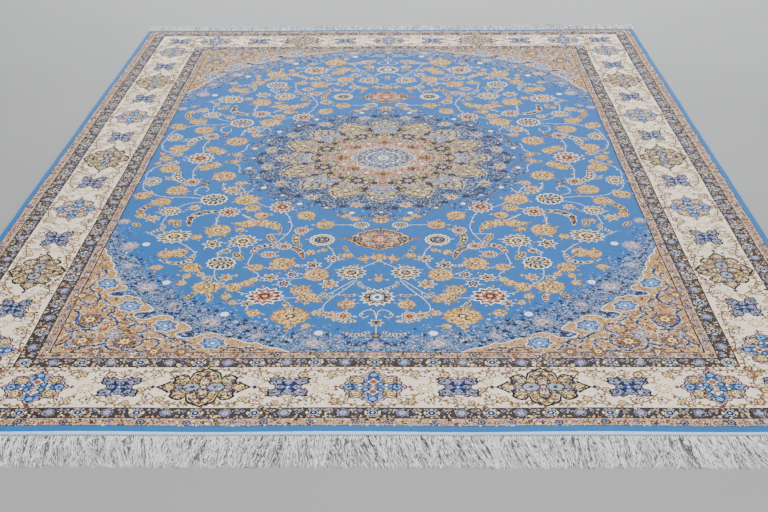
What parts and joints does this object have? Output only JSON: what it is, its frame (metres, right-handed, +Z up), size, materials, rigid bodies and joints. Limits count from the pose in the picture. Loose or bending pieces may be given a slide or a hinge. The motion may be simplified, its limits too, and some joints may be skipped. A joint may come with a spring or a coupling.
{
  "type": "persian rug",
  "caption": "Rectangular pile rug with a round medallion, corner pieces and cartouche borders, overcast sides and a fringe at each end, lying flat.",
  "frame": {"origin": "on the floor under the middle of the rug", "axes": "+X across the rug, +Y along it from the front fringe to the back fringe, +Z up"},
  "size_m": [2.5, 3.76, 0.0124],
  "materials": {
    "pile": "lustrous short pile",
    "binding": "overcast yarn",
    "fringe": "glossy white yarn"
  },
  "bodies": {
    "root": {"pile_cloth": "pile", "side_binding_left": "binding", "side_binding_right": "binding", "fringe_front": "fringe", "fringe_back": "fringe"}
  },
  "joints": []
}
